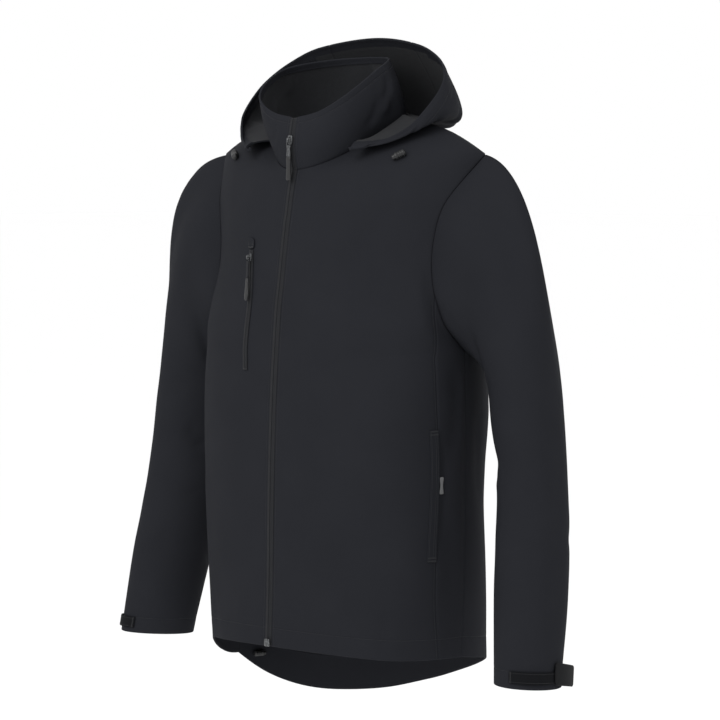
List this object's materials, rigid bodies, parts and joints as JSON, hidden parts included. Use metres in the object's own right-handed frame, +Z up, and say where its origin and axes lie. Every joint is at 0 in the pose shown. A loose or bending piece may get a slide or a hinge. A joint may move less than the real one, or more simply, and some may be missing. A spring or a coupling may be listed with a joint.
{
  "type": "hooded softshell jacket",
  "caption": "Long-sleeved softshell jacket with a stand collar, a hood lying back, a full front zip, a chest pocket and a dropped tail, in the hollow form it has when worn.",
  "frame": {"origin": "middle of the neck opening, at the height of the seam beside the neck, where the wearer's neck and shoulders hold the jacket up", "axes": "-Y is the front, +X is the wearer's left and +Z is up"},
  "size_m": [0.7936, 0.3168, 0.9038],
  "materials": {
    "shell": "matt bonded softshell, dark charcoal with a blue cast",
    "zip_tape": "woven zip tape over nylon teeth",
    "strap": "woven strap",
    "slider_metal": "dark painted die casting, worn bright at its edges",
    "moulded": "moulded, slightly glossy",
    "woven_tab": "plain woven tape"
  },
  "bodies": {
    "jacket": {"front_left": "shell", "front_right": "shell", "side_panel_left": "shell", "side_panel_right": "shell", "back": "shell", "sleeve_left": "shell", "sleeve_right": "shell", "collar": "shell", "hood_left": "shell", "hood_right": "shell", "hood_middle": "shell", "front_zip": "zip_tape", "zip_box": "slider_metal", "main_slider": "slider_metal", "chest_zip": "zip_tape", "chest_garage": "shell", "chest_slider": "slider_metal", "pocket_welt_left": "shell", "pocket_welt_right": "shell", "side_tab": "woven_tab", "cuff_strap_left": "strap", "cuff_strap_right": "strap", "cuff_tab_left": "moulded", "cuff_tab_right": "moulded", "hood_lock_left": "moulded", "hood_lock_right": "moulded", "hem_lock_left": "moulded", "hem_lock_right": "moulded"},
    "main_pull": {"main_pull_link": "slider_metal", "main_pull_grip": "moulded"},
    "chest_pull": {"chest_pull_link": "strap", "chest_pull_grip": "moulded"}
  },
  "joints": [
    {"name": "main_pull_hinge", "type": "hinge", "parent": "jacket", "child": "main_pull", "pos_m": [0, -0.11599, -0.039], "axis": [-1, 0, 0], "range_deg": [0, 150]},
    {"name": "chest_pull_hinge", "type": "hinge", "parent": "jacket", "child": "chest_pull", "pos_m": [-0.06421, -0.12818, -0.19373], "axis": [-0.9823, 0.1333, -0.1312], "range_deg": [0, 150]}
  ]
}
